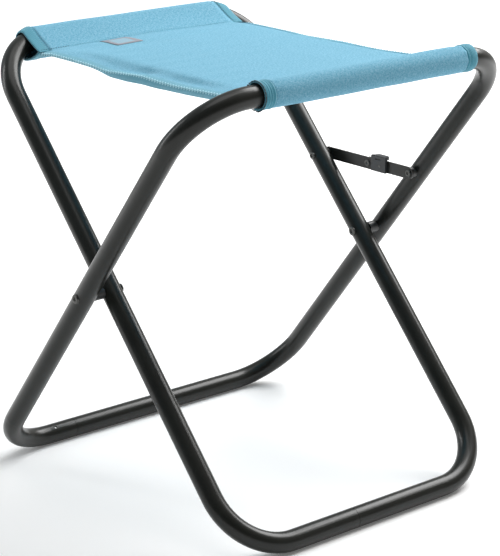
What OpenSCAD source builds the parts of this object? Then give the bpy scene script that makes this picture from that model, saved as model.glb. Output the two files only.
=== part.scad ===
// Folding camp stool: two closed tube frames crossed on a pair of rivets, a two-bar
// folding brace between the right-hand legs, and a padded fabric seat on two rails.
// X runs from the back rail to the front rail, Y along the rails, Z up from the floor.
// Left is -Y and right is +Y.

/* [Frame] */
// Outside diameter of the frame tube
tube_d = 22; // [18:0.5:25]
// Wall of the frame tube
tube_wall = 1.2; // [0.8:0.1:2]
// Distance between the outer frame's leg centre lines
outer_w = 411; // [380:1:450]
// Free gap between an outer leg and the inner leg beside it
leg_gap = 11; // [10:0.5:14]
// Height of the seat rails' centre lines above the floor
rail_z = 468; // [400:1:500]
// Lean of the outer frame from the vertical
outer_lean = 40; // [36:0.1:43]
// Lean of the inner frame from the vertical
inner_lean = 42.7; // [38:0.1:45]
// Centre line radius of the tube bends
bend_r = 67; // [50:1:80]
// Place of the tube joint along the outer foot rail
outer_joint_y = -104; // [-105:1:105]
// Place of the tube joint along the inner foot rail
inner_joint_y = -24; // [-70:1:70]
// Length of the sleeve inside each tube joint
joiner_len = 60; // [40:1:66]

/* [Pivots] */
// Shank diameter of the two pivot rivets
pivot_d = 6; // [5:0.5:8]
// Head diameter of the pivot rivets
pivot_head_d = 10; // [9:0.5:12]
// Diameter of the spacers on the pivot rivets
spacer_d = 13; // [11:0.5:16]

/* [Brace] */
// Height of the brace above the pivots
brace_rise = 75.5; // [70:0.5:80]
// Length of the long arm between its two holes
long_arm_len = 68; // [66:0.5:70]
// Length of the long arm past the middle rivet
overlap_len = 27.6; // [24:0.2:30]
// Height of the brace bars
bar_h = 13.5; // [12:0.5:15]
// Thickness of the brace bars
bar_t = 2; // [1.5:0.1:2.2]
// Shank diameter of the brace rivets
brace_rivet_d = 5; // [4:0.5:6]
// Head diameter of the brace rivets
brace_head_d = 8; // [7:0.5:9]
// Width of the thumb tab, across the brace
tab_w = 8.8; // [6:0.1:9]

/* [Seat] */
// Thickness of the padded seat panel
panel_t = 9; // [6:0.5:11]
// Thickness of one fabric layer of the panel
fabric_t = 1; // [0.8:0.1:1.2]
// Height of the panel's top above the rails' undersides
panel_lift = 4; // [2:0.1:5]
// Thickness of the rail sleeves' fabric
sleeve_t = 1.2; // [0.8:0.1:1.6]
// Width of the hem band at each end of a sleeve
hem_w = 13; // [8:1:18]
// Width of the binding on the panel's side edges
binding_w = 9; // [6:0.5:14]
// Distance from the back rail's centre line to the seam in front of it
seam_run = 39; // [34:0.5:46]
// Length and width of the plain label
label_size = [34, 34]; // [10:1:60]
// Place of the label's middle along the back seam
label_y = -43.5; // [-100:0.5:100]

/* [Hidden] */
$fn = 64;

// Colours
frame_grey = [0.27, 0.28, 0.27];
rivet_grey = [0.42, 0.42, 0.41];
plastic_grey = [0.2, 0.21, 0.21];
seat_blue = [0.45, 0.72, 0.84];
trim_blue = [0.36, 0.69, 0.82];
foam_white = [0.85, 0.85, 0.82];
label_grey = [0.52, 0.56, 0.6];

// Clearances
running_fit = 0.06;   // radius of a hole over the pin that turns in it
fixed_fit = 0.02;     // radius of a hole over the pin that is fast in it
face_gap = 0.3;       // between faces that move past each other
joint_gap = 0.4;      // between the two ends of a frame tube
edge_gap = 0.1;       // between pieces that lie against each other

// Frame geometry, with the pivots at mid height of both frames
tube_r = tube_d / 2;
inner_w = outer_w - 2 * (tube_d + leg_gap);
pivot_z = (rail_z + tube_r) / 2;
outer_len = (rail_z - tube_r) / cos(outer_lean);
inner_len = (rail_z - tube_r) / cos(inner_lean);
outer_run = outer_len / 2 * sin(outer_lean);
inner_run = inner_len / 2 * sin(inner_lean);
crimp_d = 3.5;
crimp_angle = 56;
crimp_inset = 27;

// Brace geometry, in the gap beside the right-hand legs
brace_z = pivot_z + brace_rise;
back_pin_x = -brace_rise * tan(inner_lean);
front_pin_x = brace_rise * tan(outer_lean);
middle_pin_x = back_pin_x + long_arm_len;
bar_r = bar_h / 2;
brace_pin_r = brace_rivet_d / 2;
inner_leg_face = inner_w / 2 + tube_r;
outer_leg_face = outer_w / 2 - tube_r;
back_washer_t = 1.4;
long_arm_y = inner_leg_face + back_washer_t + face_gap;
short_arm_y = long_arm_y + bar_t + face_gap;
front_spacer_y = short_arm_y + bar_t + face_gap;
head_t = 1.3;
head_bite = 0.2;
front_spacer_d = 11;
back_washer_d = 10;
tab_plate_t = 1.2;
tab_rivet_x = middle_pin_x + 21;
tab_rivet_r = 1.5;

// Seat geometry
panel_top = rail_z - tube_r + panel_lift;
sleeve_r = tube_r + 1.3;
seam_x = -inner_run + seam_run;
front_end_x = outer_run - tube_r + 2;
back_left_y = -136;
back_right_y = 142;
front_left_y = -130;
front_right_y = 148;
binding_t = 0.8;
hem_extra = 0.8;
seam_tab = 4;
label_gap = 4;

// ---------- helpers ----------

// Draws its children once at a positive and once at a negative place along Y.
module both_sides() {
    children();
    mirror([0, 1, 0]) children();
}

// Extrudes an outline drawn in X and Z from y0 to y1.
module along_y(y0, y1) {
    translate([0, y1, 0]) rotate([90, 0, 0]) linear_extrude(y1 - y0) children();
}

// A round bar along Y.
module rod(r, y0, y1) {
    translate([0, y0, 0]) rotate([-90, 0, 0]) cylinder(r = r, h = y1 - y0);
}

// A closed loop of round bar in the plane of Y and Z, centred on the origin.
module loop_bar(d, w, len) {
    leg = len - 2 * bend_r;
    rail = w - 2 * bend_r;
    both_sides() translate([0, w / 2, -leg / 2]) cylinder(d = d, h = leg);
    for (end = [0, 1]) mirror([0, 0, end]) {
        translate([0, 0, len / 2]) rod(d / 2, -rail / 2, rail / 2);
        both_sides() translate([0, rail / 2, leg / 2]) rotate([90, 0, 90])
            rotate_extrude(angle = 90) translate([bend_r, 0]) circle(d = d);
    }
}

// One frame, lying in its own leaning plane: the hollow loop, its pivot holes and the
// open joint in its foot rail.
module frame_tube(w, len, pivot_fit, joint_y) {
    difference() {
        loop_bar(tube_d, w, len);
        loop_bar(tube_d - 2 * tube_wall, w, len);
        rod(pivot_d / 2 + pivot_fit, -w, w);
        translate([0, 0, -len / 2]) rod(tube_d, joint_y - joint_gap / 2, joint_y + joint_gap / 2);
    }
}

// Puts a frame's own plane in its place, leaning by the given angle.
module lean_by(angle) {
    translate([0, 0, pivot_z]) rotate([0, angle, 0]) children();
}

// The sleeve inside a foot rail's joint.
module joiner(joint_y) {
    outside = tube_r - tube_wall - 0.05;
    difference() {
        rod(outside, joint_y - joiner_len / 2, joint_y + joiner_len / 2);
        rod(outside - 1.5, joint_y - joiner_len, joint_y + joiner_len);
    }
}

// A rivet head on the face y = 0, standing out along -Y, with a rolled rim and a hollow end.
// A skirt carries it past that face, for a seat that is cut to shape.
module rivet_head(d, t, skirt = 0) {
    r = d / 2;
    rotate([90, 0, 0]) rotate_extrude()
        polygon(concat(
            [[0, -skirt], [r, -skirt]],
            [for (a = [0:15:90]) [r - t * 0.6 + t * 0.6 * cos(a), t * 0.4 + t * 0.6 * sin(a)]],
            [[r * 0.5, t], [r * 0.38, t * 0.25], [0, t * 0.25]]
        ));
}

// A rivet's shank between two head faces, running a little way into both heads.
module shank(r, y0, y1) {
    rod(r, y0 - head_bite, y1 + head_bite);
}

// A fast rivet head that is shaped to the round leg whose centre line is at leg_y.
module seated_head(d, t, face_y, leg_y, lean) {
    difference() {
        translate([0, face_y, 0]) rivet_head(d, t, 1.6);
        translate([0, leg_y, 0]) rotate([0, lean, 0]) cylinder(r = tube_r, h = 4 * d, center = true);
    }
}

// A flat bar with one round end at the origin, running along X to the given length.
module bar_outline(len, round_end) {
    circle(r = bar_r);
    translate([0, -bar_r]) square([len, bar_h]);
    if (round_end) translate([len, 0]) circle(r = bar_r);
}

// Left and right edges of the seat panel at a given x.
function left_edge(x) = back_left_y
    + (front_left_y - back_left_y) * (x - seam_x) / (outer_run - seam_x);
function right_edge(x) = back_right_y
    + (front_right_y - back_right_y) * (x - seam_x) / (outer_run - seam_x);

// A layer of the seat panel from z0 to z1, its sides drawn in by inset.
module panel_layer(z0, z1, inset) {
    x0 = seam_x + face_gap;
    x1 = front_end_x;
    difference() {
        translate([0, 0, z0]) linear_extrude(z1 - z0) polygon([
            [x0, left_edge(x0) + inset], [x1, left_edge(x1) + inset],
            [x1, right_edge(x1) - inset], [x0, right_edge(x0) - inset]
        ]);
        translate([outer_run, 0, rail_z])
            rod(sleeve_r + sleeve_t + hem_extra + edge_gap, -outer_w, outer_w);
    }
}

// A strip along one side edge of the panel, between two insets from that edge.
module edge_strip(z0, z1, inset0, inset1, left) {
    x0 = seam_x + face_gap;
    x1 = front_end_x - 3;
    y0 = function(x, i) left ? left_edge(x) + i : right_edge(x) - i;
    translate([0, 0, z0]) linear_extrude(z1 - z0) polygon([
        [x0, y0(x0, inset0)], [x1, y0(x1, inset0)], [x1, y0(x1, inset1)], [x0, y0(x0, inset1)]
    ]);
}

// A folded binding around one side edge of the panel.
module edge_binding(left) {
    low = panel_top - panel_t;
    difference() {
        union() {
            edge_strip(low - binding_t, panel_top + binding_t, 0, 1, left);
            edge_strip(panel_top, panel_top + binding_t, 1, binding_w, left);
            edge_strip(low - binding_t, low, 1, binding_w, left);
        }
        translate([outer_run, 0, rail_z])
            rod(sleeve_r + sleeve_t + hem_extra + edge_gap, -outer_w, outer_w);
    }
}

// A round sleeve on the front rail.
module round_sleeve(y0, y1, extra) {
    translate([outer_run, 0, rail_z]) difference() {
        rod(sleeve_r + sleeve_t + extra, y0, y1);
        rod(sleeve_r, y0 - 1, y1 + 1);
    }
}

// Angle of the outward normal where a line from point p touches a circle.
function touch_angle(c, r, p, side) =
    atan2(p[1] - c[1], p[0] - c[0]) + side * acos(r / norm(p - c));
function arc_points(c, r, a0, a1) =
    [for (i = [0:12]) let (a = a0 + (a1 - a0) * i / 12) c + r * [cos(a), sin(a)]];

// Outline of the open tunnel of fabric round the back rail: over the rail, under the
// start of its bends, and together at the seam in front of it.
rail_centre = [-inner_run, rail_z];
bend_centre = rail_centre + 10.8 * [sin(inner_lean), -cos(inner_lean)];
function tunnel_outline(grow) =
    let (
        r1 = sleeve_r + grow,
        r2 = tube_r + 2.6 + grow,
        tip = [seam_x - seam_tab + (grow > 0 ? seam_tab : 0), panel_top + 0.5],
        between = bend_centre - rail_centre,
        left_normal = atan2(between[1], between[0]) - acos((r1 - r2) / norm(between)) + 360
    )
    concat(
        arc_points(rail_centre, r1, touch_angle(rail_centre, r1, tip, 1), left_normal),
        arc_points(bend_centre, r2, left_normal, touch_angle(bend_centre, r2, tip, -1) + 360),
        [tip]
    );

// A length of that tunnel.
module tunnel(y0, y1, extra) {
    difference() {
        along_y(y0, y1) polygon(tunnel_outline(sleeve_t + extra));
        along_y(y0 - 1, y1 + 1) polygon(tunnel_outline(0));
    }
}

// ---------- frame ----------

module outer_frame_tube() {
    color(frame_grey) difference() {
        lean_by(outer_lean) difference() {
            frame_tube(outer_w, outer_len, fixed_fit, outer_joint_y);
            translate([0, 0, brace_rise / cos(outer_lean)])
                rod(brace_pin_r + fixed_fit, 0, outer_w);
        }
        translate([-outer_run, outer_joint_y - crimp_inset, tube_r])
            rotate([0, 90 - crimp_angle, 0]) cylinder(d = crimp_d, h = tube_d);
    }
}

module outer_frame_joiner() {
    color(rivet_grey) translate([-outer_run, 0, tube_r]) joiner(outer_joint_y);
}

module inner_frame_tube() {
    color(frame_grey) lean_by(-inner_lean) difference() {
        frame_tube(inner_w, inner_len, running_fit, inner_joint_y);
        translate([0, 0, brace_rise / cos(inner_lean)])
            rod(brace_pin_r + fixed_fit, 0, inner_w);
    }
}

module inner_frame_joiner() {
    color(rivet_grey) translate([inner_run, 0, tube_r]) joiner(inner_joint_y);
}

// The left pivot rivet, with its head on the outer leg and its hollow end inside the frame.
module pivot_rivet() {
    outside = -outer_w / 2 - tube_r;
    inside = -inner_w / 2 + tube_r + face_gap;
    translate([0, 0, pivot_z]) {
        seated_head(pivot_head_d, 1.6, outside, -outer_w / 2, outer_lean);
        shank(pivot_d / 2, outside, inside);
        translate([0, inside, 0]) mirror([0, 1, 0]) rivet_head(pivot_head_d, 1.6);
    }
}

module left_pivot_rivet() {
    color(rivet_grey) pivot_rivet();
}

module right_pivot_rivet() {
    color(rivet_grey) mirror([0, 1, 0]) pivot_rivet();
}

// The left spacer, shaped to the outer leg and flat where the inner leg turns against it.
module pivot_spacer() {
    centre_y = -outer_w / 2;
    translate([0, 0, pivot_z]) difference() {
        rod(spacer_d / 2, centre_y + tube_r - 2.2, centre_y + tube_r + leg_gap - face_gap);
        rod(pivot_d / 2 + running_fit, -outer_w, 0);
        translate([0, centre_y, 0]) rotate([0, outer_lean, 0])
            cylinder(r = tube_r, h = 4 * spacer_d, center = true);
    }
}

module left_pivot_spacer() {
    color(plastic_grey) pivot_spacer();
}

module right_pivot_spacer() {
    color(plastic_grey) mirror([0, 1, 0]) pivot_spacer();
}

// ---------- brace ----------

module brace_long_arm() {
    color(frame_grey) translate([back_pin_x, 0, brace_z]) difference() {
        along_y(long_arm_y, long_arm_y + bar_t) bar_outline(long_arm_len + overlap_len, false);
        rod(brace_pin_r + running_fit, 0, outer_w);
        translate([long_arm_len, 0, 0]) rod(brace_pin_r + fixed_fit, 0, outer_w);
        translate([tab_rivet_x - back_pin_x, 0, 0]) rod(tab_rivet_r + fixed_fit, 0, outer_w);
    }
}

module brace_short_arm() {
    len = front_pin_x - middle_pin_x;
    color(frame_grey) translate([middle_pin_x, 0, brace_z]) difference() {
        along_y(short_arm_y, short_arm_y + bar_t) bar_outline(len, true);
        rod(brace_pin_r + fixed_fit, 0, outer_w);
        translate([len, 0, 0]) rod(brace_pin_r + running_fit, 0, outer_w);
    }
}

// Through the inner leg: a fast head inside the frame, a hollow end past the long arm.
module brace_back_rivet() {
    head_y = inner_w / 2 - tube_r;
    tail_y = long_arm_y + bar_t + face_gap;
    color(rivet_grey) translate([back_pin_x, 0, brace_z]) {
        seated_head(brace_head_d, 1.8, head_y, inner_w / 2, -inner_lean);
        shank(brace_pin_r, head_y, tail_y);
        translate([0, tail_y, 0]) mirror([0, 1, 0]) rivet_head(brace_head_d, head_t);
    }
}

module brace_back_washer() {
    color(rivet_grey) translate([back_pin_x, 0, brace_z]) difference() {
        rod(back_washer_d / 2, inner_leg_face, long_arm_y - face_gap);
        rod(brace_pin_r + running_fit, 0, outer_w);
    }
}

// The half of the middle rivet that the long arm carries.
module brace_middle_rivet() {
    color(rivet_grey) translate([middle_pin_x, 0, brace_z]) {
        translate([0, long_arm_y, 0]) rivet_head(brace_head_d, head_t);
        rod(brace_pin_r, long_arm_y - head_bite, long_arm_y + bar_t);
    }
}

// The half of the middle rivet that the short arm carries.
module brace_middle_rivet_tail() {
    color(rivet_grey) translate([middle_pin_x, 0, brace_z]) {
        rod(brace_pin_r, short_arm_y, short_arm_y + bar_t + head_bite);
        translate([0, short_arm_y + bar_t, 0]) mirror([0, 1, 0]) rivet_head(brace_head_d, head_t);
    }
}

// Through the outer leg: a head in front of the short arm, a fast end outside the frame.
module brace_front_rivet() {
    head_y = short_arm_y - face_gap;
    tail_y = outer_w / 2 + tube_r;
    color(rivet_grey) translate([front_pin_x, 0, brace_z]) {
        translate([0, head_y, 0]) rivet_head(brace_head_d, head_t);
        shank(brace_pin_r, head_y, tail_y);
        mirror([0, 1, 0]) seated_head(brace_head_d, 1.8, -tail_y, -outer_w / 2, outer_lean);
    }
}

module brace_front_spacer() {
    color(plastic_grey) translate([front_pin_x, 0, brace_z]) difference() {
        rod(front_spacer_d / 2, front_spacer_y, outer_leg_face + 1.6);
        rod(brace_pin_r + fixed_fit, 0, outer_w);
        translate([0, outer_w / 2, 0]) rotate([0, outer_lean, 0])
            cylinder(r = tube_r, h = 4 * front_spacer_d, center = true);
    }
}

// The thumb tab's extent and the two levels of its cap.
tab_x0 = middle_pin_x + 7.2;
tab_x1 = middle_pin_x + overlap_len + 3;
tab_near_y = long_arm_y - tab_plate_t;
tab_low = brace_z + bar_r + 1.3;
tab_high = tab_low + 3.6;
tab_round = 4.5;
tab_slant = 3.2;

// Plan of the thumb tab's cap, square on its near side and round at its far corners. Its
// left end is slanted, so that the short arm's round end turns past it.
function cap_plan(inset) = let (
    x0 = tab_x0 + inset, x1 = tab_x1 - inset,
    y0 = tab_near_y + inset, y1 = tab_near_y + tab_w - inset,
    r = tab_round - inset
) concat(
    [[x0, y0], [x1, y0]],
    [for (a = [0:15:90]) [x1 - r + r * cos(a), y1 - r + r * sin(a)]],
    [for (a = [90:15:180]) [x0 + tab_slant + r + r * cos(a), y1 - r + r * sin(a)]],
    [[x0 + tab_slant, y0 + 3]]
);

// The moulded thumb tab: a foot plate on the long arm, a web round the arm's end, and a
// thick flat cap that stands over both arms, with a slot under it.
module thumb_tab() {
    arm_far_y = long_arm_y + bar_t;
    arm_end_x = middle_pin_x + overlap_len;
    low_z = brace_z - bar_r;
    top_z = brace_z + bar_r;
    color(plastic_grey) difference() {
        union() {
            translate([tab_x0, tab_near_y, low_z])
                cube([tab_x1 - tab_x0, tab_plate_t, tab_low - low_z]);
            translate([arm_end_x + edge_gap, tab_near_y, low_z])
                cube([tab_x1 - arm_end_x - edge_gap, arm_far_y - tab_near_y, tab_low - low_z]);
            translate([tab_x0, tab_near_y, top_z + edge_gap])
                cube([tab_x1 - tab_x0, arm_far_y - tab_near_y, tab_low - top_z - edge_gap]);
            translate([0, 0, tab_low]) linear_extrude(tab_high - tab_low - 0.5)
                polygon(cap_plan(0));
            translate([0, 0, tab_low]) linear_extrude(tab_high - tab_low)
                polygon(cap_plan(0.5));
        }
        translate([tab_x0 + 6.5, tab_near_y - 1, top_z])
            cube([9.5, arm_far_y - tab_near_y + 2, tab_low - top_z]);
        translate([tab_rivet_x, 0, brace_z]) rod(tab_rivet_r + fixed_fit, 0, outer_w);
    }
}

module thumb_tab_rivet() {
    color(rivet_grey) translate([tab_rivet_x, 0, brace_z])
        rod(tab_rivet_r, tab_near_y - 0.2, long_arm_y + bar_t);
}

// ---------- seat ----------

module seat_top_panel() {
    color(seat_blue) panel_layer(panel_top - fabric_t, panel_top, 1 + edge_gap);
}

module seat_padding() {
    color(foam_white)
        panel_layer(panel_top - panel_t + fabric_t, panel_top - fabric_t, 1 + edge_gap);
}

module seat_under_panel() {
    color(seat_blue)
        panel_layer(panel_top - panel_t, panel_top - panel_t + fabric_t, 1 + edge_gap);
}

module left_edge_binding() {
    color(trim_blue) edge_binding(true);
}

module right_edge_binding() {
    color(trim_blue) edge_binding(false);
}

module seat_label() {
    color(label_grey) translate([seam_x + label_gap, label_y - label_size[1] / 2, panel_top])
        cube([label_size[0], label_size[1], 0.5]);
}

module front_rail_sleeve() {
    color(seat_blue) round_sleeve(front_left_y + hem_w, front_right_y - hem_w, 0);
}

module front_sleeve_left_hem() {
    color(trim_blue) round_sleeve(front_left_y, front_left_y + hem_w, hem_extra);
}

module front_sleeve_right_hem() {
    color(trim_blue) round_sleeve(front_right_y - hem_w, front_right_y, hem_extra);
}

module back_rail_sleeve() {
    color(seat_blue) tunnel(back_left_y + hem_w, back_right_y - hem_w, 0);
}

module back_sleeve_left_hem() {
    color(trim_blue) tunnel(back_left_y, back_left_y + hem_w, hem_extra);
}

module back_sleeve_right_hem() {
    color(trim_blue) tunnel(back_right_y - hem_w, back_right_y, hem_extra);
}

outer_frame_tube();
outer_frame_joiner();
inner_frame_tube();
inner_frame_joiner();
left_pivot_rivet();
right_pivot_rivet();
left_pivot_spacer();
right_pivot_spacer();
brace_long_arm();
brace_short_arm();
brace_back_rivet();
brace_back_washer();
brace_middle_rivet();
brace_middle_rivet_tail();
brace_front_rivet();
brace_front_spacer();
thumb_tab();
thumb_tab_rivet();
seat_top_panel();
seat_padding();
seat_under_panel();
left_edge_binding();
right_edge_binding();
seat_label();
front_rail_sleeve();
front_sleeve_left_hem();
front_sleeve_right_hem();
back_rail_sleeve();
back_sleeve_left_hem();
back_sleeve_right_hem();
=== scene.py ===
"""Looks of the folding camp stool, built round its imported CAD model.

X runs from the back rail to the front rail, Y along the rails (left is -Y) and Z up from
the floor, all in metres. The tubes, the brace and the rivets keep their CAD meshes and get
materials. The seat is made here: a padded panel between the rails, a round sleeve on the
front rail, an open tunnel on the back rail, hems, bindings, stitching and a plain label.
"""

import math

import bmesh
import bpy
import numpy as np
from mathutils import Matrix, Vector, noise
from mathutils.bvhtree import BVHTree


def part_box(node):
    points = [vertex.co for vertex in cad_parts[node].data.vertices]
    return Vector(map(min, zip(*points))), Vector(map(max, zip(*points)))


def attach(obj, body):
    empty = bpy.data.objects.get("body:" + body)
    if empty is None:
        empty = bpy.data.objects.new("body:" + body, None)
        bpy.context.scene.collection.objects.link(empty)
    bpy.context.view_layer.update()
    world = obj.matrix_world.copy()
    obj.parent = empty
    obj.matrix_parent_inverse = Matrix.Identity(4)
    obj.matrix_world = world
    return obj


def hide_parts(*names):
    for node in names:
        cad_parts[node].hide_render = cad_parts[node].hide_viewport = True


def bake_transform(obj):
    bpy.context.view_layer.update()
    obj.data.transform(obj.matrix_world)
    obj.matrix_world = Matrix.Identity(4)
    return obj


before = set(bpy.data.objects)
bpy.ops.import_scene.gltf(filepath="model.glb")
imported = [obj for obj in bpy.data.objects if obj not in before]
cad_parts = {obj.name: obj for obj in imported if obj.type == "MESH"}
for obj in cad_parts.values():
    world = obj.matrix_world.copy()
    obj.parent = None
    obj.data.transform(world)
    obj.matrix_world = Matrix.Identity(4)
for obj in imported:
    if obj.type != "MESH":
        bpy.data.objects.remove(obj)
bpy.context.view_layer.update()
scene = bpy.context.scene
MM = 0.001

# ---------- sizes that come from the frame ----------

frame_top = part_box("outer_frame_tube")[1].z
front_sleeve_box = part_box("front_rail_sleeve")
RAIL_Z = (front_sleeve_box[0].z + front_sleeve_box[1].z) / 2
TUBE_R = frame_top - RAIL_Z
FRONT_X = (front_sleeve_box[0].x + front_sleeve_box[1].x) / 2
BACK_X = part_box("inner_frame_tube")[0].x + TUBE_R
INNER_LEAN = math.atan2(-2 * BACK_X, RAIL_Z - TUBE_R)
FRONT_LEFT_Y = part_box("front_sleeve_left_hem")[0].y
FRONT_RIGHT_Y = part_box("front_sleeve_right_hem")[1].y
BACK_LEFT_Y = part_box("back_sleeve_left_hem")[0].y
BACK_RIGHT_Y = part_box("back_sleeve_right_hem")[1].y
HEM_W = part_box("back_sleeve_left_hem")[1].y - BACK_LEFT_Y
SLEEVE_OUT = front_sleeve_box[1].z - RAIL_Z
SEAM_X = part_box("seat_top_panel")[0].x
SEAM_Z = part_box("seat_top_panel")[1].z
PANEL_END_X = FRONT_X - TUBE_R
INNER_HALF_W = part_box("inner_frame_tube")[1].y - TUBE_R
BEND_R = 67 * MM
BEND_START = INNER_HALF_W - BEND_R

# ---------- small tools ----------


def smooth(t):
    """0 below 0, 1 above 1, and a smooth step between."""
    t = np.clip(t, 0, 1)
    return t * t * (3 - 2 * t)


def bell(t):
    """1 at 0, falling off smoothly to both sides."""
    return np.exp(-np.square(t))


def ripple(x, y, z=0.0):
    """Smooth noise from -1 to 1 at a point, or at each point of arrays of one shape."""
    points = np.stack(np.broadcast_arrays(x, y, z), -1)
    flat = [noise.noise(Vector(p)) for p in points.reshape(-1, 3)]
    return np.array(flat).reshape(points.shape[:-1])


def add_object(name, mesh):
    """Puts a mesh, a light or a camera into the scene."""
    obj = bpy.data.objects.new(name, mesh)
    scene.collection.objects.link(obj)
    return obj


def mesh_from(name, vertices, faces, corner_coords, material):
    """A smooth-shaded object, with the cloth's own coordinates in metres in a UV map."""
    mesh = bpy.data.meshes.new(name)
    mesh.from_pydata([tuple(v) for v in vertices], [], faces)
    uv = mesh.uv_layers.new(name="cloth")
    uv.data.foreach_set("uv", np.array(corner_coords, np.float32).ravel())
    mesh.materials.append(material)
    clean = bmesh.new()
    clean.from_mesh(mesh)
    bmesh.ops.recalc_face_normals(clean, faces=clean.faces)
    clean.to_mesh(mesh)
    clean.free()
    mesh.shade_smooth()
    return add_object(name, mesh)


def normals_of(points, wrap):
    """Unit normals of a grid of points; wrap closes it round its first index."""
    if wrap:
        along = np.roll(points, -1, 0) - np.roll(points, 1, 0)
    else:
        along = np.gradient(points, axis=0)
    across = np.gradient(points, axis=1)
    n = np.cross(along, across)
    return n / np.maximum(np.linalg.norm(n, axis=2, keepdims=True), 1e-12)


def shell(name, outer, inner, coords, material, wrap=False):
    """A closed piece between two grids of points. coords has one more row than the grids if
    they wrap, so that the cloth's coordinates run on past the join."""
    rows, columns = outer.shape[:2]
    count = rows * columns
    faces, corners = [], []

    def add(cells):
        faces.append([((i % rows) * columns + j) + side * count for i, j, side in cells])
        corners.extend(coords[i, j] for i, j, side in cells)

    spans = rows if wrap else rows - 1
    for i in range(spans):
        for j in range(columns - 1):
            ring = [(i, j), (i + 1, j), (i + 1, j + 1), (i, j + 1)]
            add([(a, b, 0) for a, b in ring])
            add([(a, b, 1) for a, b in reversed(ring)])
        for j in (0, columns - 1):
            add([(i, j, 0), (i, j, 1), (i + 1, j, 1), (i + 1, j, 0)])
    if not wrap:
        for i in (0, rows - 1):
            for j in range(columns - 1):
                add([(i, j, 0), (i, j + 1, 0), (i, j + 1, 1), (i, j, 1)])
    vertices = np.concatenate([outer.reshape(-1, 3), inner.reshape(-1, 3)])
    return mesh_from(name, vertices, faces, corners, material)


def sheet_of(name, points, thickness, coords, material, wrap=False):
    """A sheet of that thickness, half of it to each side of a grid of points."""
    offset = normals_of(points, wrap) * thickness / 2
    return shell(name, points + offset, points - offset, coords, material, wrap)


def refine(obj, levels=1):
    """Subdivides a mesh for good."""
    modifier = obj.modifiers.new("refine", "SUBSURF")
    modifier.levels = modifier.render_levels = levels
    bake(obj)


def bake(obj):
    """Replaces a mesh by what its modifiers make of it."""
    graph = bpy.context.evaluated_depsgraph_get()
    mesh = bpy.data.meshes.new_from_object(obj.evaluated_get(graph))
    obj.modifiers.clear()
    obj.data = mesh


def tree_of(obj):
    """A tree of an object's faces, to look its surface up with."""
    return BVHTree.FromPolygons(
        [v.co for v in obj.data.vertices], [p.vertices for p in obj.data.polygons]
    )


def resampled(outline, count):
    """Points at equal steps along a line, and the length from its start to each."""
    steps = np.linalg.norm(np.diff(outline, axis=0), axis=1)
    at = np.concatenate([[0], np.cumsum(steps)])
    wanted = np.linspace(0, at[-1], count)
    points = np.stack([np.interp(wanted, at, outline[:, k]) for k in range(outline.shape[1])], 1)
    return points, wanted


# ---------- materials ----------


def put(tree, kind, inputs=None, **settings):
    """Adds a shader node, with values or links for its inputs."""
    node = tree.nodes.new("ShaderNode" + kind)
    for key, value in settings.items():
        setattr(node, key, value)
    for key, value in (inputs or {}).items():
        if isinstance(value, bpy.types.NodeSocket):
            tree.links.new(value, node.inputs[key])
        else:
            node.inputs[key].default_value = value
    return node


def maths(tree, operation, *values):
    """The result of a maths node on values or sockets."""
    return put(tree, "Math", dict(enumerate(values)), operation=operation).outputs[0]


def ramp(tree, factor, *stops):
    """A colour ramp through (position, colour) stops."""
    node = put(tree, "ValToRGB", {"Fac": factor})
    elements = node.color_ramp.elements
    while len(elements) < len(stops):
        elements.new(0.5)
    for element, (position, colour) in zip(elements, stops):
        element.position = position
        element.color = (*colour, 1)
    return node.outputs["Color"]


def new_material(name):
    """A material with its node tree and its main shader."""
    material = bpy.data.materials.new(name)
    material.use_nodes = True
    tree = material.node_tree
    return material, tree, tree.nodes["Principled BSDF"]


def noise_at(tree, vector, scale, detail=2.0, roughness=0.5):
    """Smooth noise from 0 to 1 at a place."""
    node = put(
        tree, "TexNoise",
        {"Vector": vector, "Scale": scale, "Detail": detail, "Roughness": roughness},
    )
    return node.outputs["Fac"]


def bump(tree, shader, height, distance, strength=1.0):
    """Roughens a shader's surface by a height that stands for that distance."""
    node = put(tree, "Bump", {"Height": height, "Distance": distance, "Strength": strength})
    tree.links.new(node.outputs["Normal"], shader.inputs["Normal"])
    return node


def cloth_mm(tree):
    """The cloth's own coordinates, in millimetres."""
    uv = put(tree, "UVMap", uv_map="cloth").outputs["UV"]
    return put(tree, "VectorMath", {0: uv, 3: 1 / MM}, operation="SCALE").outputs["Vector"]


def stretched(tree, vector, along, across):
    """A place scaled differently along its two axes, for streaky noise."""
    return put(
        tree, "VectorMath", {0: vector, 1: (along, across, 1)}, operation="MULTIPLY"
    ).outputs["Vector"]


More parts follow.
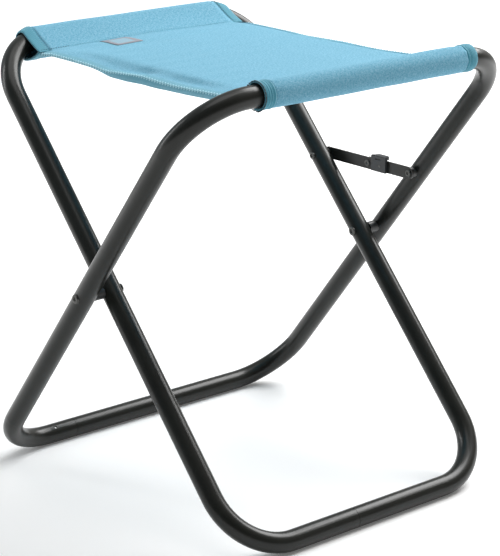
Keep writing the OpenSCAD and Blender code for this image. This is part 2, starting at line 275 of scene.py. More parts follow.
def woven(name, dark, middle, light, pitch, streak):
    """Melange cloth: warp and weft threads of uneven colour in a plain weave."""
    material, tree, shader = new_material(name)
    place = cloth_mm(tree)
    parts = put(tree, "SeparateXYZ", {0: place})
    waves = [
        maths(tree, "SINE", maths(tree, "MULTIPLY", parts.outputs[k], math.pi / pitch))
        for k in (0, 1)
    ]
    over = maths(tree, "MULTIPLY", *waves)
    on_top = maths(tree, "ADD", maths(tree, "MULTIPLY", over, 0.9), 0.5)
    warp = noise_at(tree, stretched(tree, place, 1 / streak, 0.9 / pitch), 1.0, 1.0)
    weft = noise_at(tree, stretched(tree, place, 0.9 / pitch, 1 / streak), 1.0, 1.0)
    mixed = put(tree, "Mix", {"Factor": on_top, "A": warp, "B": weft}).outputs["Result"]
    mottle = noise_at(tree, place, 0.45, 3.0, 0.6)
    tone = maths(
        tree, "ADD",
        maths(tree, "MULTIPLY", mixed, 1.35),
        maths(tree, "MULTIPLY", maths(tree, "SUBTRACT", mottle, 0.5), 0.35),
    )
    tone = maths(tree, "SUBTRACT", tone, 0.18)
    colour = ramp(tree, tone, (0.18, dark), (0.5, middle), (0.8, light))
    tree.links.new(colour, shader.inputs["Base Color"])
    thickness = maths(tree, "MULTIPLY", mixed, 0.5)
    threads = maths(tree, "ADD", maths(tree, "ABSOLUTE", over), thickness)
    bump(tree, shader, threads, 0.12 * MM, 0.7)
    shader.inputs["Roughness"].default_value = 0.9
    shader.inputs["Sheen Weight"].default_value = 0.07
    shader.inputs["Sheen Roughness"].default_value = 0.5
    return material


def ribbed(name, colour, shade, pitch, axis):
    """Tape with fine ribs across its length; axis is the cloth coordinate that crosses them."""
    material, tree, shader = new_material(name)
    place = cloth_mm(tree)
    parts = put(tree, "SeparateXYZ", {0: place})
    wave = maths(
        tree, "SINE", maths(tree, "MULTIPLY", parts.outputs[axis], 2 * math.pi / pitch)
    )
    grain = noise_at(tree, place, 1.3, 3.0, 0.6)
    tone = maths(tree, "ADD", maths(tree, "MULTIPLY", wave, 0.12), grain)
    tree.links.new(ramp(tree, tone, (0.25, shade), (0.7, colour)), shader.inputs["Base Color"])
    height = maths(tree, "ADD", wave, maths(tree, "MULTIPLY", grain, 0.8))
    bump(tree, shader, height, 0.12 * MM, 0.8)
    shader.inputs["Roughness"].default_value = 0.82
    shader.inputs["Sheen Weight"].default_value = 0.2
    return material


def thread(name, colour, shade):
    """Twisted sewing thread."""
    material, tree, shader = new_material(name)
    place = put(tree, "TexCoord").outputs["Object"]
    grain = noise_at(tree, place, 900.0, 2.0)
    tree.links.new(ramp(tree, grain, (0.3, shade), (0.7, colour)), shader.inputs["Base Color"])
    bump(tree, shader, grain, 0.1 * MM, 0.5)
    shader.inputs["Roughness"].default_value = 0.6
    return material


def coated(name, colour, pale, roughness, coat, peel):
    """Stoved paint on steel: even colour, faint orange peel, and a clear gloss."""
    material, tree, shader = new_material(name)
    place = put(tree, "TexCoord").outputs["Object"]
    cloud = noise_at(tree, place, 30.0, 4.0, 0.6)
    tree.links.new(ramp(tree, cloud, (0.35, colour), (0.75, pale)), shader.inputs["Base Color"])
    rough = maths(tree, "ADD", maths(tree, "MULTIPLY", cloud, 0.1), roughness - 0.05)
    tree.links.new(rough, shader.inputs["Roughness"])
    bump(tree, shader, noise_at(tree, place, 900.0, 2.0), peel, 0.35)
    shader.inputs["Specular IOR Level"].default_value = 0.34
    shader.inputs["Coat Weight"].default_value = coat
    shader.inputs["Coat Roughness"].default_value = 0.08
    return material


def bare_metal(name, colour, roughness):
    """Plated steel with a fine grain and small dull spots."""
    material, tree, shader = new_material(name)
    place = put(tree, "TexCoord").outputs["Object"]
    spots = noise_at(tree, place, 420.0, 4.0, 0.65)
    dull = tuple(c * 0.55 for c in colour)
    tree.links.new(ramp(tree, spots, (0.3, dull), (0.65, colour)), shader.inputs["Base Color"])
    rough = maths(tree, "ADD", maths(tree, "MULTIPLY", spots, 0.3), roughness - 0.15)
    tree.links.new(rough, shader.inputs["Roughness"])
    bump(tree, shader, noise_at(tree, place, 2200.0, 2.0), 0.03 * MM, 0.4)
    shader.inputs["Metallic"].default_value = 0.85
    return material


def moulded(name, colour, pale, roughness):
    """Moulded plastic with a fine spark-eroded grain."""
    material, tree, shader = new_material(name)
    place = put(tree, "TexCoord").outputs["Object"]
    grain = noise_at(tree, place, 1600.0, 3.0, 0.7)
    tree.links.new(ramp(tree, grain, (0.3, colour), (0.8, pale)), shader.inputs["Base Color"])
    bump(tree, shader, grain, 0.06 * MM, 0.5)
    shader.inputs["Roughness"].default_value = roughness
    return material


def printed_label():
    """A plain woven patch: a grey border round a bluish field, with no lettering."""
    material, tree, shader = new_material("label_print")
    place = cloth_mm(tree)
    parts = put(tree, "SeparateXYZ", {0: place})
    half = LABEL_SIZE / 2 / MM
    edges = [maths(tree, "ABSOLUTE", parts.outputs[k]) for k in (0, 1)]
    reach = maths(tree, "MAXIMUM", *edges)
    border = put(
        tree, "MapRange",
        {"Value": reach, "From Min": half - LABEL_BORDER - 0.7, "From Max": half - LABEL_BORDER},
    ).outputs["Result"]
    grain = noise_at(tree, stretched(tree, place, 1.0, 3.0), 1.0, 2.0)
    field = ramp(tree, grain, (0.3, (0.17, 0.30, 0.38)), (0.7, (0.27, 0.42, 0.51)))
    rim = ramp(tree, grain, (0.3, (0.19, 0.20, 0.23)), (0.7, (0.28, 0.28, 0.31)))
    colour = put(tree, "MixRGB", {"Fac": border, "Color1": field, "Color2": rim}).outputs["Color"]
    tree.links.new(colour, shader.inputs["Base Color"])
    bump(tree, shader, grain, 0.1 * MM, 0.6)
    shader.inputs["Roughness"].default_value = 0.7
    return material


LABEL_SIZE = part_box("seat_label")[1].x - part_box("seat_label")[0].x
LABEL_BORDER = 5.8  # millimetres, like the cloth's coordinates
PEEL = 0.03 * MM

frame_paint = coated(
    "frame_paint", (0.008, 0.009, 0.0075), (0.012, 0.013, 0.011), 0.30, 0.05, PEEL
)
brace_paint = coated(
    "brace_paint", (0.010, 0.010, 0.009), (0.014, 0.014, 0.012), 0.4, 0.05, PEEL
)
rivet_metal = bare_metal("rivet_metal", (0.12, 0.12, 0.115), 0.42)
bare_steel = bare_metal("bare_steel", (0.5, 0.5, 0.49), 0.35)
black_plastic = moulded("black_plastic", (0.014, 0.015, 0.015), (0.024, 0.025, 0.025), 0.45)
tab_plastic = moulded("tab_plastic", (0.016, 0.018, 0.020), (0.028, 0.031, 0.034), 0.45)
seat_cloth = woven(
    "seat_cloth", (0.050, 0.23, 0.345), (0.125, 0.355, 0.49), (0.26, 0.49, 0.61), 0.62, 3.2
)
tape = ribbed("tape", (0.12, 0.38, 0.50), (0.06, 0.26, 0.36), 1.1, 0)
hem_tape = ribbed("hem_tape", (0.070, 0.31, 0.41), (0.035, 0.20, 0.28), 1.6, 1)
pale_thread = thread("pale_thread", (0.46, 0.74, 0.82), (0.30, 0.57, 0.67))
light_thread = thread("light_thread", (0.22, 0.52, 0.64), (0.14, 0.40, 0.52))
dark_thread = thread("dark_thread", (0.04, 0.12, 0.19), (0.02, 0.07, 0.12))
black_thread = thread("black_thread", (0.015, 0.05, 0.07), (0.008, 0.03, 0.04))
label_print = printed_label()

CAD_LOOKS = {
    frame_paint: ["outer_frame_tube", "inner_frame_tube"],
    brace_paint: ["brace_long_arm", "brace_short_arm"],
    bare_steel: ["outer_frame_joiner", "inner_frame_joiner"],
    rivet_metal: [
        "left_pivot_rivet", "right_pivot_rivet", "brace_back_rivet", "brace_back_washer",
        "brace_middle_rivet", "brace_middle_rivet_tail", "brace_front_rivet", "thumb_tab_rivet",
    ],
    black_plastic: ["left_pivot_spacer", "right_pivot_spacer", "brace_front_spacer"],
    tab_plastic: ["thumb_tab"],
}
for look, names in CAD_LOOKS.items():
    for name in names:
        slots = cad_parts[name].data.materials
        slots.clear()
        slots.append(look)

# ---------- the seat panel's outline ----------

TAPE_W = 9 * MM
TAPE_T = 0.9 * MM
CLOTH_T = 1.1 * MM
UNDER_CLOTH_T = 0.6 * MM
SEAM_BOW = 2.6 * MM


class Side:
    """One side edge of the seat panel. inward is +1 where the panel lies to its +Y."""

    def __init__(self, inward, back_y, front_y, level, wave):
        self.inward, self.back_y, self.front_y = inward, back_y, front_y
        self.level, self.wave = level, wave

    def y(self, x, depth=0.0):
        """Y at a depth inward from the edge."""
        run = (x - SEAM_X) / (FRONT_X - SEAM_X)
        pull = 2.5 * MM * np.sin(np.pi * np.clip(run, 0, 1))
        edge = self.back_y + (self.front_y - self.back_y) * run
        return edge + self.inward * (depth + pull)

    def fold_z(self, x):
        """Height of the tape's outer fold."""
        near_seam = (SEAM_Z - 2.0 * MM - self.level) * smooth((-62 * MM - x) / (90 * MM))
        near_rail = 2.4 * MM * smooth((x - 55 * MM) / (90 * MM))
        ripples = bell((x - 4 * MM) / (26 * MM)) - 1.1 * bell((x + 54 * MM) / (17 * MM))
        corner = 1.6 * MM * smooth((-152 * MM - x) / (18 * MM))
        return self.level + near_seam + near_rail + self.wave * ripples - corner

    def rise(self, x):
        """How far the tape's inner edge lies above its fold."""
        twist = 1.8 * MM * bell((x + 18 * MM) / (22 * MM)) * (self.wave / (1.1 * MM))
        return 1.4 * MM + 0.6 * MM * smooth((-50 * MM - x) / (50 * MM)) - twist

    def drop(self, x):
        """How far the tape's lower half hangs below its fold."""
        open_up = smooth((x + 125 * MM) / (115 * MM)) - 0.22 * smooth((x - 5 * MM) / (60 * MM))
        return 2.6 * MM + 6.0 * MM * open_up

    def lower_depth(self, x):
        """How far inward the tape's lower half reaches."""
        return np.sqrt(np.maximum(TAPE_W**2 - self.drop(x) ** 2, (2 * MM) ** 2))


near = Side(1, BACK_LEFT_Y, FRONT_LEFT_Y, SEAM_Z - 3.9 * MM, 1.5 * MM)
far = Side(-1, BACK_RIGHT_Y, FRONT_RIGHT_Y, SEAM_Z - 2.4 * MM, 0.6 * MM)


def across(x, y):
    """0 at the left edge of the panel and 1 at its right edge."""
    return (y - near.y(x)) / (far.y(x) - near.y(x))


def tape_level(x, y):
    """Height of the sewn edges, carried across the panel, with the back seam's bow."""
    t = smooth(across(x, y))
    left = near.fold_z(x) + near.rise(x)
    right = far.fold_z(x) + far.rise(x)
    bow = SEAM_BOW * np.sin(np.pi * np.clip(across(x, y), 0, 1)) ** 3
    return left + (right - left) * t + bow * bell((x - SEAM_X) / (50 * MM))


def edge_depth(x, y):
    """Distance inward from the nearer side edge."""
    return np.minimum(y - near.y(x), far.y(x) - y)


# ---------- the padded panel ----------

CELL = 5 * MM
FOAM_T = 7 * MM
FOAM_SAG = 3 * MM
PAD_START = SEAM_X
PAD_END = PANEL_END_X + 1.5 * MM
FLANGE = [1 * MM, 5 * MM, TAPE_W]

# Hollows worn into the left shoulder, in millimetres: how deep, the X of the middle, half
# the length, the distance of the middle from the edge, and half the width.
HOLLOWS = [(3.8, -6, 18, 17, 6), (3.0, 66, 34, 15, 6), (1.8, -82, 34, 16, 8)]


def panel_grid(depths, cell):
    """X and Y of a grid over the panel, with extra columns at the given edge depths."""
    rows = round((PAD_END - PAD_START) / cell) + 1
    columns = round((far.y(0) - near.y(0) - 2 * depths[-1]) / cell) - 1
    x = np.linspace(PAD_START, PAD_END, rows)
    inside = np.linspace(0, 1, columns + 2)[1:-1]
    ys = [near.y(x, d) for d in depths]
    low, high = near.y(x, depths[-1]), far.y(x, depths[-1])
    ys += [low + (high - low) * t for t in inside]
    ys += [far.y(x, d) for d in reversed(depths)]
    y = np.stack(ys, 1)
    return np.broadcast_to(x[:, None], y.shape).copy(), y


def inflated(low, high, held):
    """The two faces of a flat pillow after it is blown up as cloth with some points held."""
    rows, columns = held.shape
    coords = np.zeros((rows, columns, 2))
    pillow = shell("pillow", high, low, coords, seat_cloth)
    group = pillow.vertex_groups.new(name="held")
    flat = np.concatenate([held.ravel(), held.ravel()])
    group.add([int(i) for i in np.nonzero(flat)[0]], 1.0, "REPLACE")
    cloth = pillow.modifiers.new("cloth", "CLOTH")
    cloth.settings.quality = 6
    cloth.settings.vertex_group_mass = "held"
    cloth.settings.use_pressure = True
    cloth.settings.uniform_pressure_force = 4
    cloth.settings.effector_weights.gravity = 0
    for step in range(1, 21):
        scene.frame_set(step)
    graph = bpy.context.evaluated_depsgraph_get()
    puffed = pillow.evaluated_get(graph).data
    points = np.zeros(len(puffed.vertices) * 3)
    puffed.vertices.foreach_get("co", points)
    points = points.reshape(2, rows, columns, 3)
    scene.frame_set(1)
    bpy.data.objects.remove(pillow)
    return points[1], points[0]


def puffed_faces(x, y, held):
    """Heights of the pad's faces above and below its sewn edge level."""
    level = tape_level(x, y)
    front_end = smooth((PAD_END - x) / (16 * MM))
    flat = np.stack([x, y, level], 2)
    half_t = 0.6 * MM
    thin = np.array([0, 0, half_t])
    low, high = inflated(flat - thin, flat + thin, held)
    up = np.maximum(high[..., 2] - level - half_t, 0)
    down = np.maximum(level - half_t - low[..., 2], 0)
    lifted = limited(FOAM_T + 3 * up, room_above(x, level)) * shoulder(x, y) * front_end
    return level + lifted, level - limited(down, FOAM_SAG)


def room_above(x, level):
    """How far the pad can stand above its sewn edges before the cloth on top is tight."""
    crown = SEAM_Z + 0.4 * MM + 1.6 * MM * smooth((x - PAD_START - 15 * MM) / (60 * MM))
    return np.maximum(crown - level, 0.3 * MM)


def shoulder(x, y):
    """0 on the tapes and 1 on the pad's flat middle. The left shoulder is steep where the
    pad has been sat on, and long and soft near the back."""
    left, right = y - near.y(x), far.y(x) - y
    pinch = np.maximum(bell((x + 6 * MM) / (20 * MM)), bell((x - 72 * MM) / (38 * MM)))
    foot = TAPE_W + 1 * MM + 5 * MM * pinch
    width = 19 * MM - 8.5 * MM * pinch
    return smooth((left - foot) / width) * smooth((right - TAPE_W) / (14 * MM))


def limited(lift, most):
    """A lift that levels off at the most it may be, as foam under tight cloth does."""
    return most * np.tanh(lift / most)


def worked_in(x, y):
    """Folds and hollows that sitting and folding have left in the pad's top."""
    depth = y - near.y(x)
    hollows = sum(
        deep * MM * bell((x / MM - middle) / length) * bell((depth / MM - inward) / width)
        for deep, middle, length, inward, width in HOLLOWS
    )
    bend = x + 7 * MM * ripple(x * 9, y * 14, 3.0) + 0.06 * y
    fade = 0.35 + 0.65 * bell((depth - 30 * MM) / (110 * MM))
    folds = 0.42 * MM * np.sin(bend * 215) * (0.6 + 0.6 * ripple(x * 16, y * 9, 8.0)) * fade
    soft = 0.5 * MM * ripple(x * 28, y * 28, 1.0)
    inside = smooth((edge_depth(x, y) - TAPE_W) / (12 * MM))
    ends = smooth((x - PAD_START) / (14 * MM)) * smooth((PAD_END - x) / (14 * MM))
    return (folds + soft - hollows) * inside * ends


def make_pad():
    """The padded panel, thin where the tapes hold it and puffed between them."""
    x, y = panel_grid(FLANGE, CELL)
    held = np.zeros(x.shape, bool)
    held[0] = held[-1] = True
    held[:, : len(FLANGE)] = held[:, -len(FLANGE) :] = True
    top, bottom = puffed_faces(x, y, held)
    top = top + worked_in(x, y) + 0.3 * MM
    flange = smooth((TAPE_W - edge_depth(x, y) + 1.5 * MM) / (3 * MM))
    for side in (near, far):
        on = flange * (np.abs(y - side.y(x)) < 12 * MM)
        tape_z = side.fold_z(x) + side.rise(x) * (np.abs(y - side.y(x)) / TAPE_W)
        top = top + (tape_z - 0.55 * MM - top) * on
        bottom = bottom + (tape_z - 1.45 * MM - bottom) * on
    bottom = np.minimum(bottom, top - 0.8 * MM)
    coords = np.stack([x, y], 2)
    high, low = np.stack([x, y, top], 2), np.stack([x, y, bottom], 2)
    pad = shell("padded_seat", high, low, coords, seat_cloth)
    refine(pad)
    return pad


pad = make_pad()
pad_tree = tree_of(pad)


def on_pad(x, y, lift=0.0):
    """The point of the pad's top face at x and y, raised by lift."""
    hit = pad_tree.ray_cast(Vector((x, y, frame_top)), Vector((0, 0, -1)))
    return hit[0] + hit[1] * lift


# ---------- the underside cloth ----------


def make_under_cloth():
    """The cloth under the pad, sewn to the tapes' lower halves and sagging between them."""
    x, y = panel_grid([2 * MM, 4 * MM, 6.5 * MM, TAPE_W], CELL)
    t = smooth(across(x, y))
    fold = near.fold_z(x) + (far.fold_z(x) - near.fold_z(x)) * t
    side_drop = near.drop(x) + (far.drop(x) - near.drop(x)) * t
    side_reach = near.lower_depth(x) + (far.lower_depth(x) - near.lower_depth(x)) * t
    depth = edge_depth(x, y)
    ends = (1 - bell((x - PAD_START) / (45 * MM))) * (1 - bell((PAD_END - x) / (45 * MM)))
    middle_drop = (3.2 + 7.5 * ends) * MM
    on_tape = np.clip(depth / side_reach, 0, 1)
    beyond = 1 - np.exp(-np.maximum(depth - side_reach, 0) / (22 * MM))
    down = (side_drop - 0.85 * MM) * on_tape + (middle_drop - side_drop) * beyond
    down = np.maximum(down, 1.85 * MM)
    waves = 0.7 * MM * ripple(x * 30, y * 12, 5.0) * smooth((depth - TAPE_W) / (20 * MM))
    z = fold - down + waves * ends
    points = np.stack([x, y, z], 2)
    cloth = sheet_of("under_cloth", points, UNDER_CLOTH_T, np.stack([x, y], 2), seat_cloth)
    refine(cloth)
    return cloth


under_cloth = make_under_cloth()

# ---------- bindings ----------


def tape_section(side, x):
    """Y and Z of the folded tape's middle line at x, from its upper inner edge, round the
    fold, to its lower inner edge."""
    fold, rise, drop = side.fold_z(x), side.rise(x), side.drop(x)
    reach = side.lower_depth(x)
    bend = 1.3 * MM
    points = [(TAPE_W, rise), (TAPE_W * 0.55, rise * 0.55), (bend, rise * 0.15)]
    points += [(0.25 * bend, -0.2 * bend), (0.1 * bend, -0.8 * bend)]
    bulge = 0.8 * MM * min(drop / (8 * MM), 1)
    points += [(reach * 0.45 - bulge, -drop * 0.5), (reach * 0.8, -drop * 0.85), (reach, -drop)]
    line, _ = resampled(np.array(points), 15)
    return [(float(side.y(x, d)), float(fold + z)) for d, z in line]


def make_binding(name, side):
    """The tape folded over one side edge of the panel."""
    xs = np.linspace(SEAM_X - 1 * MM, PANEL_END_X - 1 * MM, 120)
    rows = []
    for x in xs:
        flutter = 0.25 * MM * noise.noise(Vector((x * 60, side.inward, 0)))
        rows.append([(x, y, z + flutter) for y, z in tape_section(side, x)])
    points = np.array(rows)
    length = np.linspace(0, 2 * TAPE_W, points.shape[1])
    coords = np.stack(
        [np.broadcast_to(xs[:, None], points.shape[:2]),
         np.broadcast_to(length[None], points.shape[:2])], 2
    )
    piece = sheet_of(name, points, TAPE_T, coords, tape)
    refine(piece)
    return piece


left_binding = make_binding("left_binding", near)
right_binding = make_binding("right_binding", far)

# ---------- sleeves ----------

ROUND_POINTS = 96
SEAM_ANGLE = math.radians(218)
HEM_GAP = 0.1 * MM


def make_round_sleeve(name, y0, y1, radius, thickness, material, cell=2.5 * MM):
    """A length of round sleeve on the front rail. radius(angle, y) is its middle line."""
    ys = np.linspace(y0, y1, max(round((y1 - y0) / cell), 4) + 1)
    angles = np.linspace(0, 2 * np.pi, ROUND_POINTS, endpoint=False)
    a, y = np.meshgrid(angles, ys, indexing="ij")
    r = radius(a, y)
    gap = np.abs((a - SEAM_ANGLE + np.pi) % (2 * np.pi) - np.pi)
    r = r + 1.6 * MM * bell(gap / math.radians(15))
    points = np.stack([FRONT_X + r * np.cos(a), y, RAIL_Z + r * np.sin(a)], 2)
    lap = np.linspace(0, 2 * np.pi * SLEEVE_OUT, ROUND_POINTS + 1)
    u, v = np.meshgrid(lap, ys, indexing="ij")
    return sheet_of(name, points, thickness, np.stack([u, v], 2), material, wrap=True)


def sleeve_radius(a, y):
    """The front sleeve between its hems, with small gathers next to them."""
    calm = smooth((y - FRONT_LEFT_Y - HEM_W) / (14 * MM))
    calm = calm * smooth((FRONT_RIGHT_Y - HEM_W - y) / (14 * MM))
    wander = 0.35 * MM * ripple(np.cos(a) * 1.3, np.sin(a) * 1.3, y * 22)
    gathers = 0.3 * MM * (1 - calm) * np.cos(9 * a + 2 * ripple(0, 0, y * 30))
    return 13.3 * MM + wander + gathers - 0.35 * MM * (1 - calm)


def left_hem_radius(a, y):
    """The front sleeve's left hem: ribs, a ridge at its inner edge and a ragged rim."""
    t = (y - FRONT_LEFT_Y) / HEM_W
    ribs = 0.28 * MM * np.sin(t * 2 * np.pi * 5) * smooth(t / 0.25) * smooth((0.9 - t) / 0.1)
    ridge = 0.55 * MM * bell((t - 0.93) / 0.06)
    ragged = 0.3 * MM * (1 - smooth(t / 0.2)) * np.sin(34 * a)
    return 13.25 * MM + ribs + ridge + ragged + 0.2 * MM * ripple(np.cos(a), np.sin(a), y * 60)


def right_hem_radius(a, y):
    """The front sleeve's right hem: a fat roll, a rib and a groove."""
    t = (FRONT_RIGHT_Y - y) / HEM_W
    roll = 1.0 * MM * np.sqrt(np.clip(1 - ((t - 0.34) / 0.36) ** 2, 0, 1))
    rib = 0.8 * MM * bell((t - 0.84) / 0.09)
    groove = 0.4 * MM * bell((t - 0.99) / 0.04)
    return 12.9 * MM + roll + rib - groove + 0.2 * MM * ripple(np.cos(a) * 2, np.sin(a) * 2, y * 40)


front_sleeve = make_round_sleeve(
    "front_sleeve", FRONT_LEFT_Y + HEM_W, FRONT_RIGHT_Y - HEM_W,
    sleeve_radius, CLOTH_T, seat_cloth,
)
front_left_hem = make_round_sleeve(
    "front_left_hem", FRONT_LEFT_Y, FRONT_LEFT_Y + HEM_W - HEM_GAP,
    left_hem_radius, CLOTH_T, hem_tape, 0.6 * MM,
)
front_right_hem = make_round_sleeve(
    "front_right_hem", FRONT_RIGHT_Y - HEM_W + HEM_GAP, FRONT_RIGHT_Y,
    right_hem_radius, CLOTH_T, hem_tape, 0.6 * MM,
)


def arc(centre, radius, start, end, count=24):
    """Points along an arc."""
    angles = np.linspace(start, end, count)
    return centre + radius * np.stack([np.cos(angles), np.sin(angles)], 1)


def touch(centre, radius, point, side):
    """Angle of the radius where a line from a point touches a circle."""
    gap = point - centre
    return math.atan2(gap[1], gap[0]) + side * math.acos(radius / np.linalg.norm(gap))


def tunnel_outline(grow, tip_back, y=0.0):
    """X and Z round the back tunnel at y, from its tip: along the flap, over the rail, under
    the start of its bends, and back along the lower layer."""
    down = np.array([math.sin(INNER_LEAN), -math.cos(INNER_LEAN)])
    past = min(max(abs(y) - BEND_START, 0), BEND_R)
    sunk = BEND_R - math.sqrt(BEND_R**2 - past**2)
    rail = np.array([BACK_X, RAIL_Z]) + max(sunk - 3.0 * MM, 0) * down
    bend = np.array([BACK_X, RAIL_Z]) + max(10.8 * MM, sunk) * down
    r1, r2 = TUBE_R + 0.25 * MM + grow, TUBE_R + 1.9 * MM + grow
    tip = np.array([SEAM_X + 1.2 * MM - tip_back, tape_level(SEAM_X, y) + 0.15 * MM])
    between = bend - rail
    reach = np.linalg.norm(between)
    left = math.atan2(between[1], between[0]) - math.acos((r1 - r2) / reach) + 2 * math.pi
    over = arc(rail, r1, touch(rail, r1, tip, 1), left)
    under = arc(bend, r2, left, touch(bend, r2, tip, -1) + 2 * math.pi)
    flap = tip + (over[0] - tip) * np.linspace(0, 1, 16)[:-1, None]
    flap[:, 1] -= 1.0 * MM * np.sin(np.linspace(0, np.pi, 16)[:-1])
    back = under[-1] + (tip - under[-1]) * np.linspace(0, 1, 16)[1:, None]
    back[:, 1] -= 1.6 * MM * np.sin(np.linspace(0, np.pi, 16)[1:])
    return np.concatenate([flap, over, under[1:], back])


def make_tunnel(name, y0, y1, extra, material, cell, shape):
    """A length of the open tunnel round the back rail. shape(t, y) moves it outward."""
    ys = np.linspace(y0, y1, max(round((y1 - y0) / cell), 4) + 1)
    count = 120
    share = np.linspace(0, 1, count)
    grids = []
    for grow, tip_back in ((1.1 * MM + extra, 0), (0.1 * MM, 4 * MM)):
        columns = []
        for y in ys:
            line, lap = resampled(tunnel_outline(grow, tip_back, y), count)
            away = np.gradient(line, axis=0)
            away = np.stack([-away[:, 1], away[:, 0]], 1)
            away /= np.linalg.norm(away, axis=1)[:, None]
            away *= np.sign(np.sum(away * (line - line.mean(0))))
            moved = line + away * shape(share, y)[:, None]
            columns.append(np.stack([moved[:, 0], np.full(count, y), moved[:, 1]], 1))
        grids.append(np.stack(columns, 1))
    u, v = np.meshgrid(lap, ys, indexing="ij")
    return shell(name, grids[0], grids[1], np.stack([u, v], 2), material)


def loose(t, y):
    """Slack of the tunnel's cloth, none at the seam or where it is tight over the rail."""
    free = smooth(t / 0.1) * smooth((1 - t) / 0.1)
    return 0.45 * MM * free * ripple(t * 7, y * 16, 4.0)


def hem_loose(t, y):
    """The same slack at a hem, drawn in along its stitches and at its rim."""
    edge = np.minimum(y - BACK_LEFT_Y, BACK_RIGHT_Y - y)
    stitched = 0.45 * MM * bell((edge - HEM_W + 1.6 * MM) / (1.0 * MM))
    return loose(t, y) - stitched - 0.3 * MM * bell(edge / (1.0 * MM))


back_tunnel = make_tunnel(
    "back_tunnel", BACK_LEFT_Y + HEM_W, BACK_RIGHT_Y - HEM_W, 0, seat_cloth, 5 * MM, loose
)
back_left_hem = make_tunnel(
    "back_left_hem", BACK_LEFT_Y, BACK_LEFT_Y + HEM_W - HEM_GAP,
    0.7 * MM, hem_tape, 0.7 * MM, hem_loose,
)
back_right_hem = make_tunnel(
    "back_right_hem", BACK_RIGHT_Y - HEM_W + HEM_GAP, BACK_RIGHT_Y,
    0.7 * MM, hem_tape, 0.7 * MM, hem_loose,
)

# ---------- stitching ----------

OVERLOCK_PITCH = 4.4 * MM
STITCH_PITCH = 3.1 * MM
SEAM_CHANGE_Y = BACK_LEFT_Y + 44 * MM
FRAYED_ENDS = 84


def bead_chain(name, spans, radius, material, sides=6):
    """One mesh of short rounded threads, each along a (start, end) span."""
    vertices, faces = [], []
    rings = [(0.0, 0.35), (0.15, 0.9), (0.5, 1.1), (0.85, 0.9), (1.0, 0.35)]
    for start, end in spans:
        start, end = Vector(start), Vector(end)
        along = (end - start).normalized()
        side = along.orthogonal().normalized()
        other = along.cross(side)
        first = len(vertices)
        for share, width in rings:
            centre = start.lerp(end, share)
            for k in range(sides):
                a = 2 * math.pi * k / sides
                turn = side * math.cos(a) + other * math.sin(a)
                vertices.append(centre + turn * radius * width)
        for i in range(len(rings) - 1):
            for k in range(sides):
                a, b = first + i * sides + k, first + i * sides + (k + 1) % sides
                faces.append([a, b, b + sides, a + sides])
        faces.append([first + k for k in reversed(range(sides))])
        faces.append([first + (len(rings) - 1) * sides + k for k in range(sides)])
    coords = np.zeros((sum(len(f) for f in faces), 2))
    return mesh_from(name, vertices, faces, coords, material)


def dashes(path, pitch, share=0.62):
    """Spans along a line of points, each a share of the pitch."""
    line, at = resampled(np.array([tuple(p) for p in path]), max(len(path), 2) * 4)
    spans = []
    for k in range(int(at[-1] / pitch)):
        ends = [k * pitch + pitch * (0.5 - share / 2), k * pitch + pitch * (0.5 + share / 2)]
        spans.append([[np.interp(e, at, line[:, c]) for c in range(3)] for e in ends])
    return spans


def overlock(name, side):
    """Zigzag thread over the fold of a side's tape."""
    count = int((PANEL_END_X - SEAM_X - 4 * MM) / OVERLOCK_PITCH)
    spans = []
    for k in range(count):
        x = SEAM_X + 1 * MM + k * OVERLOCK_PITCH
        points = []
        for step, (depth, z) in enumerate(((2.5, 0.9), (-0.5, -1.1), (2.5, 0.9))):
            at = x + step * OVERLOCK_PITCH / 2
            rise = side.rise(at) * depth * MM / TAPE_W if z > 0 else 0
            points.append((at, side.y(at, depth * MM), side.fold_z(at) + rise + z * MM))
        spans += [(points[0], points[1]), (points[1], points[2])]
    return bead_chain(name, spans, 0.55 * MM, pale_thread)


left_overlock = overlock("left_overlock", near)
right_overlock = overlock("right_overlock", far)


def seam_row(name, y0, y1, distance, material):
    """Stitches along the back seam, a distance up the flap from its tip."""
    path = []
    for y in np.arange(y0, y1, 3 * MM):
        outline, at = resampled(tunnel_outline(1.2 * MM, 0, y), 200)
        x, z = (np.interp(distance, at, outline[:, k]) for k in (0, 1))
        path.append((x, y, z + 0.15 * MM))
    return bead_chain(name, dashes(path, STITCH_PITCH), 0.34 * MM, material)


seam_start = seam_row(
    "seam_start", BACK_LEFT_Y + 2 * MM, SEAM_CHANGE_Y, 3.5 * MM, dark_thread
)
seam_stitches = seam_row(
    "seam_stitches", SEAM_CHANGE_Y, BACK_RIGHT_Y - 2 * MM, 3.5 * MM, light_thread
)


def pad_row():
    """The second row, on the pad just in front of the seam."""
    x = SEAM_X + 3.5 * MM
    ys = np.arange(near.y(x, 4 * MM), far.y(x, 4 * MM), 3 * MM)
    path = [on_pad(x, y, 0.1 * MM) for y in ys]
    return bead_chain("pad_seam_stitches", dashes(path, STITCH_PITCH), 0.28 * MM, light_thread)


pad_stitches = pad_row()


def hem_ring(name, y, extra, material):
    """Stitches round the tunnel at one of its hems."""
    outline, at = resampled(tunnel_outline(1.2 * MM + extra, 0, y), 400)
    part = outline[(at > 4 * MM) & (at < at[-1] - 4 * MM)]
    path = [(x, y, z) for x, z in part[::6]]
    return bead_chain(name, dashes(path, STITCH_PITCH), 0.32 * MM, material)


tunnel_left_row = hem_ring(
    "tunnel_left_stitches", BACK_LEFT_Y + HEM_W - 1.7 * MM, 0.35 * MM, light_thread
)
tunnel_right_row = hem_ring(
    "tunnel_right_stitches", BACK_RIGHT_Y - HEM_W + 1.7 * MM, 0.35 * MM, dark_thread
)


